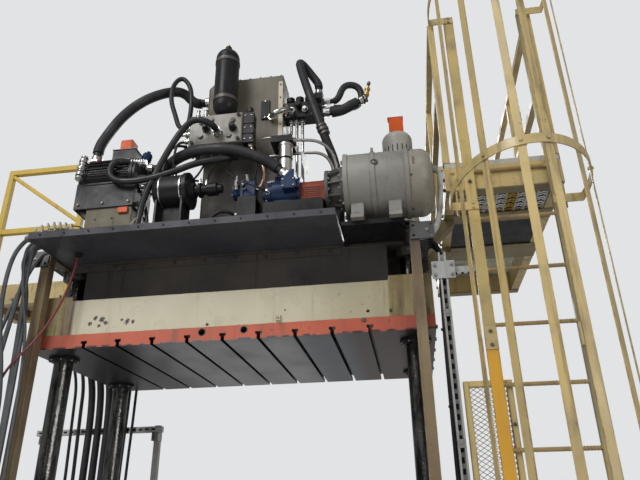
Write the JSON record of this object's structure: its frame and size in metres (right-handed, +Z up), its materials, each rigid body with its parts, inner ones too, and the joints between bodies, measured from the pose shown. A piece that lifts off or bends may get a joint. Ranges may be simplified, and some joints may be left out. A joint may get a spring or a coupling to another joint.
{
  "type": "four-post hydraulic press",
  "caption": "Upright hydraulic press with a slotted slide on four round columns, a crown deck carrying motors, pumps and an oil tank, and a caged access ladder.",
  "frame": {"origin": "on the floor, midway between the four columns", "axes": "+Z up, +X to the right seen from the front, front towards -Y"},
  "size_m": [4.087, 2.495, 4.54],
  "materials": {
    "cream_paint": "satin",
    "orange_paint": "satin",
    "dark_paint": "satin",
    "ground_steel": "satin",
    "hard_chrome": "polished",
    "motor_grey": "satin",
    "pump_blue": "satin",
    "yellow_paint": "satin",
    "galvanised": "satin",
    "hose_rubber": "matte",
    "bronze": "satin"
  },
  "bodies": {
    "frame": {"accumulator": "dark_paint", "base_box_left": "cream_paint", "bed": "cream_paint", "bed_gussets": "cream_paint", "bell_housing": "dark_paint", "bolster": "ground_steel", "cables": "hose_rubber", "cage_bars": "yellow_paint", "cage_hoops": "yellow_paint", "column_nuts": "dark_paint", "columns": "hard_chrome", "conduits": "hose_rubber", "coupling_guard": "orange_paint", "crown": "cream_paint", "crown_gussets": "cream_paint", "deck_tray": "dark_paint", "filter_bowl": "hard_chrome", "filter_head": "dark_paint", "gear_pump": "pump_blue", "guard_posts": "cream_paint", "guardrail_left": "yellow_paint", "guardrail_right": "yellow_paint", "hose_fittings": "galvanised", "hose_rack": "galvanised", "ladder_rails": "yellow_paint", "ladder_rungs": "yellow_paint", "ladder_stay": "galvanised", "left_motor": "dark_paint", "main_cylinder": "dark_paint", "main_motor": "motor_grey", "main_pump": "pump_blue", "manifold": "cream_paint", "motor_base": "dark_paint", "motor_fan_cover": "motor_grey", "oil_hoses": "hose_rubber", "platform_brackets": "yellow_paint", "platform_floor_plate": "dark_paint", "platform_frame": "yellow_paint", "platform_grating": "galvanised", "platform_left": "yellow_paint", "post_plates": "galvanised", "pump_base": "dark_paint", "side_guard": "yellow_paint", "side_valves": "dark_paint", "steel_tubes": "galvanised", "strut": "galvanised", "switch_boxes": "orange_paint", "tank": "cream_paint", "terminal_box": "dark_paint", "upright_motor": "cream_paint", "upright_pump": "dark_paint", "valve_stack": "dark_paint"},
    "slide": {"slide_body": "cream_paint", "slide_face": "ground_steel", "guide_bushes": "bronze", "ram": "hard_chrome"}
  },
  "joints": [
    {"name": "slide_travel", "type": "slide", "parent": "frame", "child": "slide", "axis": [0, 0, 1], "range_m": [-1.2, 0]}
  ]
}
